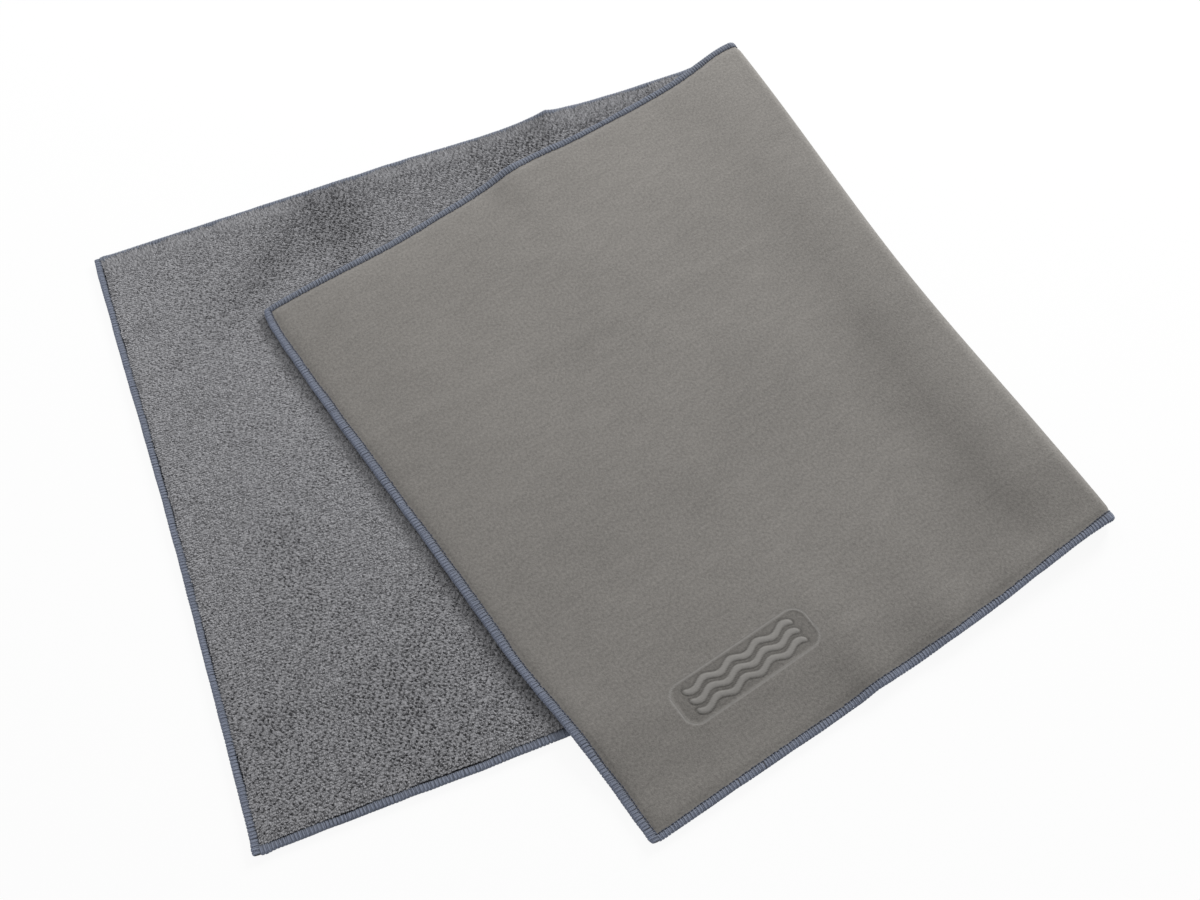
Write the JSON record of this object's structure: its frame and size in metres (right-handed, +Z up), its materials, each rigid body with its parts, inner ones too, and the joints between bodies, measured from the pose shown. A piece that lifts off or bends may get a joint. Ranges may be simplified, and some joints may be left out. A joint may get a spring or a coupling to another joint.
{
  "type": "microfibre cloth",
  "caption": "Double-faced microfibre drying cloth, plush on one face and suede on the other, overlocked all round and folded once askew, with a fold that opens flat.",
  "frame": {"origin": "on the floor, under the middle of the folded cloth's bounding box", "axes": "+X along the lower half's long sides, towards the fold; +Y across the lower half, away from the flap's overhanging corner; +Z up"},
  "size_m": [0.4852, 0.4708, 0.016],
  "materials": {
    "suede": "warm grey microfibre suede with a short brushed nap",
    "pile": "cool grey plush microfibre pile",
    "looper_thread": "blue-grey bulked polyester thread",
    "needle_thread": "dark blue-grey spun polyester thread"
  },
  "bodies": {
    "base": {"suede_base": "suede", "pile_base": "pile", "base_end_needle_thread": "needle_thread", "base_end_upper_looper": "looper_thread", "base_end_lower_looper": "looper_thread", "near_base_needle_thread": "needle_thread", "near_base_upper_looper": "looper_thread", "near_base_lower_looper": "looper_thread", "far_base_needle_thread": "needle_thread", "far_base_upper_looper": "looper_thread", "far_base_lower_looper": "looper_thread", "suede_fold": "suede", "pile_fold": "pile", "near_fold_needle_thread": "needle_thread", "near_fold_upper_looper": "looper_thread", "near_fold_lower_looper": "looper_thread", "far_fold_needle_thread": "needle_thread", "far_fold_upper_looper": "looper_thread", "far_fold_lower_looper": "looper_thread"},
    "flap": {"suede_flap": "suede", "pile_flap": "pile", "flap_end_needle_thread": "needle_thread", "flap_end_upper_looper": "looper_thread", "flap_end_lower_looper": "looper_thread", "near_flap_needle_thread": "needle_thread", "near_flap_upper_looper": "looper_thread", "near_flap_lower_looper": "looper_thread", "far_flap_needle_thread": "needle_thread", "far_flap_upper_looper": "looper_thread", "far_flap_lower_looper": "looper_thread"}
  },
  "joints": [
    {"name": "flap_fold", "type": "hinge", "parent": "base", "child": "flap", "pos_m": [0.20902, 0.03387, 0.00365], "axis": [-0.1142, 0.9935, 0], "range_deg": [0, 179], "deforming": ["suede_fold", "pile_fold", "near_fold_needle_thread", "near_fold_upper_looper", "near_fold_lower_looper", "far_fold_needle_thread", "far_fold_upper_looper", "far_fold_lower_looper"]}
  ]
}
